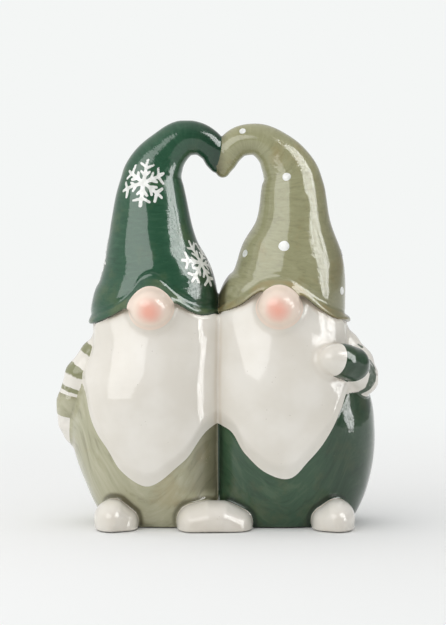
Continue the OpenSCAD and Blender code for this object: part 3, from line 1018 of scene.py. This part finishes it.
def painted_glaze(name, main, light, dark, thin, across, along, contrast):
    """A coloured glaze put on by brush: streaky, darker where it pools and with painted shade in hollows,
    creases and towards the right, thin and lighter on edges.
    """
    s = Glaze(name)
    streaks = brush_marks(s, across, along)
    clouds = s.clouds(75, 4, 0.6)
    colour = s.mix(s.times(s.span(streaks, 0.48, 0.72), contrast), main, light)
    colour = s.mix(s.times(s.span(streaks, 0.5, 0.3), 0.6 * contrast), colour, dark)
    colour = s.mix(s.times(s.span(clouds, 0.5, 0.72), 0.45), colour, thin)
    # Painted shade: darker in hollows, in the crease and towards the right side, together with glaze
    # pooling.
    pool_shade = s.math("MAXIMUM", s.span(s.guide("pool_shade"), 0.12, 0.7), s.span(s.guide("wide_pool_shade"), 0.3, 0.95))
    colour = s.mix(s.times(pool_shade, 0.9), colour, dark)
    edge = s.times(s.span(s.guide("edge"), 0.32, 0.8), s.span(clouds, 0.35, 0.6))
    colour = s.mix(s.times(edge, 0.75), colour, thin)
    colour = s.mix(s.times(speckle(s), 0.5), colour, light)
    return s.finish(colour, s.math("ADD", s.clouds(260, 2), s.times(streaks, 0.6)), 0.32)


def cream_glaze(name, stripe=None):
    """A pale glaze, warmer and darker where it pools and with painted shade in hollows and creases, peach
    round the noses, with a few pinholes and any painted bands."""
    s = Glaze(name)
    colour = s.mix(s.span(s.clouds(60, 3, 0.5), 0.35, 0.7), linear(227, 222, 212), linear(235, 231, 223))
    # Painted shade: warmer and darker in hollows and the crease, brown in the deepest hollows, together
    # with glaze pooling.
    pool_shade = s.math("MAXIMUM", s.span(s.guide("pool_shade"), 0.1, 0.75), s.span(s.guide("wide_pool_shade"), 0.72, 0.98))
    colour = s.mix(s.times(pool_shade, 0.5), colour, linear(208, 194, 174))
    deep_shade = s.span(s.guide("pool_shade"), 0.5, 1.0)
    colour = s.mix(s.times(deep_shade, 0.5), colour, linear(150, 130, 104))
    colour = s.mix(s.span(s.guide("blush"), 0.08, 0.36), colour, linear(240, 222, 208))
    if stripe:
        wobble = s.times(s.math("SUBTRACT", s.clouds(420, 2), 0.5), 0.9)
        band = s.span(s.math("ADD", s.guide("stripe"), wobble), 0.12, -0.2)
        worn = s.span(s.clouds(300), 0.25, 0.5, 0.55, 1.0)
        colour = s.mix(s.times(band, worn), colour, stripe)
    colour = s.mix(s.times(speckle(s, 620, 0.14), 0.45), colour, linear(150, 140, 118))
    return s.finish(colour, s.clouds(210, 2), coat=0.75)


def blush_glaze():
    """A peach glaze with a soft pink spot."""
    s = Glaze("blush_glaze")
    wander = s.times(s.math("SUBTRACT", s.clouds(150), 0.5), 0.25)
    blush = s.span(s.math("ADD", s.guide("blush"), wander), 0.45, 0.95)
    colour = s.mix(blush, linear(242, 223, 208), linear(242, 176, 157))
    return s.finish(colour, s.clouds(210, 2), coat=0.6)


def enamel():
    s = Glaze("white_enamel")
    colour = s.mix(s.span(s.clouds(500), 0.3, 0.7), linear(214, 216, 210), linear(243, 243, 240))
    return s.finish(colour, s.clouds(900, 2), 0.35, 0.15, 0.0003)


def bisque():
    """Unglazed fired clay under the base."""
    s = Glaze("bisque")
    grain = s.clouds(900, 6, 0.7)
    colour = s.mix(s.span(grain, 0.35, 0.7), linear(206, 190, 164), linear(231, 220, 200))
    colour = s.mix(s.times(s.span(s.clouds(60), 0.5, 0.7), 0.4), colour, linear(196, 172, 140))
    return s.finish(colour, grain, 0.85, 0.5, coat=0.0)


FOREST_HAT = painted_glaze("forest_glaze_hat", linear(42, 83, 60), linear(66, 103, 78),
                           linear(16, 44, 29), linear(88, 106, 70), 1.1, 5, 0.35)
FOREST_CLOTH = painted_glaze("forest_glaze_cloth", linear(49, 80, 56), linear(76, 100, 74),
                             linear(22, 42, 26), linear(88, 94, 62), 3.2, 9, 0.6)
SAGE_HAT = painted_glaze("sage_glaze_hat", linear(153, 152, 117), linear(172, 170, 138),
                         linear(92, 88, 60), linear(158, 140, 94), 1.2, 5, 0.4)
SAGE_CLOTH = painted_glaze("sage_glaze_cloth", linear(175, 173, 145), linear(194, 191, 166),
                           linear(92, 88, 64), linear(166, 152, 112), 3.4, 9, 0.6)
CREAM = cream_glaze("cream_glaze")
SAGE_BANDED = cream_glaze("cream_glaze_sage_bands", linear(140, 141, 108))
FOREST_BANDED = cream_glaze("cream_glaze_green_bands", linear(70, 88, 70))
BLUSH = blush_glaze()
ENAMEL = enamel()
BISQUE = bisque()

FOREST_NODES = ("left_hat", "right_trousers", "right_outer_cuff", "right_inner_cuff")
SAGE_NODES = ("right_hat", "left_trousers", "left_outer_cuff", "left_inner_cuff")


def finish_of(node):
    """The material of a CAD node, and the name of its glaze."""
    if node in FOREST_NODES:
        return (FOREST_HAT if node.endswith("_hat") else FOREST_CLOTH), "forest_glaze"
    if node in SAGE_NODES:
        return (SAGE_HAT if node.endswith("_hat") else SAGE_CLOTH), "sage_glaze"
    if node.endswith("_nose"):
        return BLUSH, "blush_glaze"
    if node.endswith("_sleeve"):
        return (SAGE_BANDED if node.startswith("left") else FOREST_BANDED), "cream_glaze"
    return CREAM, "cream_glaze"


# ---- Building the pieces ----

def dress(piece, material, slot, node):
    piece.data.materials.append(material)
    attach(piece, "root")
    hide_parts(node)


GRID_MARGIN = 2.5  # of grid round the CAD model's box
BOX_INSET = 0.02  # how far inside that box the skin stays


def build_skin():
    """The whole skin, in millimetres, with what the paint follows, parted into its pieces."""
    low = np.array(cad_box[0]) / MM - GRID_MARGIN
    high = np.array(cad_box[1]) / MM + GRID_MARGIN
    axes = [np.arange(a, b + CELL, CELL) for a, b in zip(low, high)]
    points, triangles = surface_net(field_grid(axes), axes)
    points = settled(points)
    points = np.clip(points, low + GRID_MARGIN + BOX_INSET, high - GRID_MARGIN - BOX_INSET)
    normals = unit(slope_at(points))
    nearness = piece_nearness(points)
    clear_islands(nearness, triangles)
    data = np.hstack([points, normals, paint_guides(points, normals), brush_flow(points)])
    return part_skin(data, triangles, nearness)


def build_pieces():
    """A closed, dressed shell for every piece but the floor, which stays the CAD one."""
    data, faces, owner = build_skin()
    for column, node in enumerate(NODE_NAMES):
        if node == "base_floor":
            continue
        used, own = own_points(faces[owner == column])
        rows = data[used]
        normals = unit(rows[:, 3:6])
        guides = rows[:, 6:]
        wall = guides[:, GUIDES.index("wall")][:, None]
        points, shell = closed_shell(rows[:, :3], rows[:, :3] - normals * wall, own)
        both = np.vstack([normals, -normals])
        attributes = guide_attributes(np.vstack([guides, guides]))
        piece = make_mesh(node + "_glazed", points, shell, both, attributes)
        dress(piece, *finish_of(node), node)


def build_enamel():
    flakes = [enamel_patch(LEFT, way, turn, spin, 10.5, lambda u, v, s=i: flake_distance(u, v, 40 + s))
              for i, (way, turn, spin) in enumerate(FLAKES)]
    dress(enamel_piece("snowflakes_enamelled", flakes), ENAMEL, "white_enamel", "snowflake_decals")
    dots = [enamel_patch(RIGHT, way, turn, 0, radius + 1.2,
                         lambda u, v, r=radius, s=i: dot_distance(u, v, r, 60 + s))
            for i, (way, turn, radius) in enumerate(DOTS)]
    dress(enamel_piece("dots_enamelled", dots), ENAMEL, "white_enamel", "dot_decals")


def dress_floor():
    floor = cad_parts["base_floor"]
    floor.data.materials.clear()
    floor.data.materials.append(BISQUE)


add_forms()
build_pieces()
build_enamel()
dress_floor()


# ---- Studio: pale sweep, soft lights, pale surroundings ----

FLOOR_RADIUS = 6.0
FLOOR_SIDES = 96
FLOOR_Z = -0.0002
PAPER = (0.8, 0.805, 0.8, 1)
PAPER_FADE = (0.12, 0.4)  # the paper turns into the backdrop between these distances
BACKDROP = linear(244, 246, 245)


def stage_face(name, corners, material):
    """A stage object of one flat face."""
    mesh = bpy.data.meshes.new(name)
    mesh.from_pydata(corners, [], [range(len(corners))])
    mesh.materials.append(material)
    made = bpy.data.objects.new(name, mesh)
    bpy.context.scene.collection.objects.link(made)
    return made


def emitter_material(name, mirrored, cast, pattern=None):
    """A light that is mirrored in the glaze with one strength and lights what is round it with another."""
    material = bpy.data.materials.new(name)
    s = Nodes(material, cleared=True)
    glossy = s.node("LightPath", output="Is Glossy Ray")
    glow = {"Strength": s.node("MapRange", {"Value": glossy, "To Min": cast, "To Max": mirrored})}
    if pattern:
        glow["Color"] = pattern(s)
    s.node("OutputMaterial", {"Surface": s.node("Emission", glow)})
    return material


def creases(s):
    """Fine dark creases in a bright sheet."""
    warp = s.node("TexNoise", {"Vector": s.place(), "Scale": 14, "Detail": 3}, "Color")
    bent = s.node("VectorMath", {0: warp, 1: (0.12, 0.12, 0.12), 2: s.scaled(s.place(), (1, 1, 3))},
                  operation="MULTIPLY_ADD")
    gap = s.node("TexVoronoi", {"Vector": bent, "Scale": 22}, "Distance", feature="DISTANCE_TO_EDGE")
    return s.node("MapRange", {"Value": gap, "From Min": 0.02, "From Max": 0.12, "To Min": 0.06})


def towards(azimuth, elevation):
    """Direction from the figure, azimuth 0 being the camera's side and growing to the viewer's right."""
    a, e = math.radians(azimuth), math.radians(elevation)
    return Vector((math.sin(a) * math.cos(e), -math.cos(a) * math.cos(e), math.sin(e)))


AIM = Vector((0, 0, 0.08))
OCTAGON = ((-1, -0.45), (-0.5, -1), (0.5, -1), (1, -0.45), (1, 0.45), (0.5, 1), (-0.5, 1), (-1, 0.45))
FOIL = (  # outline of the creased sheet, narrow below, and wide and nearer the camera above
    (0.25, -1), (0.8, -1), (0.95, -0.75), (0.8, -0.5), (1.0, -0.35), (0.85, -0.2), (1.0, 0), (0.9, 0.2),
    (0.7, 0.5), (0.8, 0.75), (0.5, 1), (-0.9, 1), (-1, 0.8), (-0.75, 0.62), (-0.95, 0.4), (-0.7, 0.2),
    (-0.8, 0), (-0.4, -0.12), (-0.3, -0.3), (0.05, -0.5), (0.05, -0.8),
)


def panel(name, azimuth, elevation, distance, width, height, outline, material):
    """A flat light that faces the figure, unseen by the camera itself."""
    way = towards(azimuth, elevation)
    turn = way.to_track_quat("Z", "Y").to_matrix()
    corners = [AIM + way * distance + turn @ Vector((u * width / 2, v * height / 2, 0)) for u, v in outline]
    stage_face(name, corners, material).visible_camera = False


def floor_material():
    """Pale matt paper, which fades into the even backdrop away from the figure."""
    material = bpy.data.materials.new("paper")
    s = Nodes(material)
    matt = s.tree.nodes["Principled BSDF"]
    for key, value in (("Base Color", PAPER), ("Roughness", 0.9), ("Specular IOR Level", 0.0)):
        s.connect(matt.inputs[key], value)
    position = s.node("NewGeometry", output="Position")
    fade = s.span(s.node("VectorMath", {0: position}, "Value", operation="LENGTH"), *PAPER_FADE)
    even = s.node("Emission", {"Color": BACKDROP})
    both = s.node("MixShader", {0: fade, 1: matt.outputs[0], 2: even})
    s.connect(s.tree.nodes["Material Output"].inputs["Surface"], both)
    return material


def make_floor():
    angles = (math.tau * (i + 0.5) / FLOOR_SIDES for i in range(FLOOR_SIDES))
    rim = [Vector((math.cos(a) * FLOOR_RADIUS, math.sin(a) * FLOOR_RADIUS, FLOOR_Z)) for a in angles]
    stage_face("floor", rim, floor_material())


def make_world():
    """Pale to the camera. The glaze mirrors a room that is dark behind the camera and to the right, and is
    lit from above and from the left."""
    world = bpy.data.worlds.new("studio")
    bpy.context.scene.world = world
    s = Nodes(world, cleared=True)
    direction = s.node("TexCoord", output="Generated")

    def across(axis, low, high, dark, bright):
        return s.span(s.node("SeparateXYZ", {0: direction}, axis), low, high, dark, bright)

    def background(**inputs):
        return s.node("Background", inputs)

    def choose(ray, otherwise, then):
        return s.node("MixShader", {0: s.node("LightPath", output=ray), 1: otherwise, 2: then})

    lit = s.times(s.times(across("Z", -0.2, 1, 0.6, 1.3), across("Y", -1, 0.2, 0.8, 1.1)),
                  across("X", -1, 1, 1.4, 0.85))
    mirrored = s.times(across("Y", -0.95, -0.1, 0.08, 0.8), across("X", 0.1, 1, 1, 0.35))
    room = choose("Is Glossy Ray", background(Strength=lit), background(Strength=mirrored))
    seen = choose("Is Camera Ray", room, background(Color=BACKDROP))
    s.node("OutputWorld", {"Surface": seen})


make_floor()
panel("softbox", -40, 28, 0.45, 0.46, 0.34, OCTAGON, emitter_material("softbox", 3.6, 1.8))
panel("foil", 62, 24, 0.6, 0.5, 0.7, FOIL, emitter_material("foil", 12.0, 1.2, creases))
make_world()
bpy.context.scene.view_settings.view_transform = "Standard"
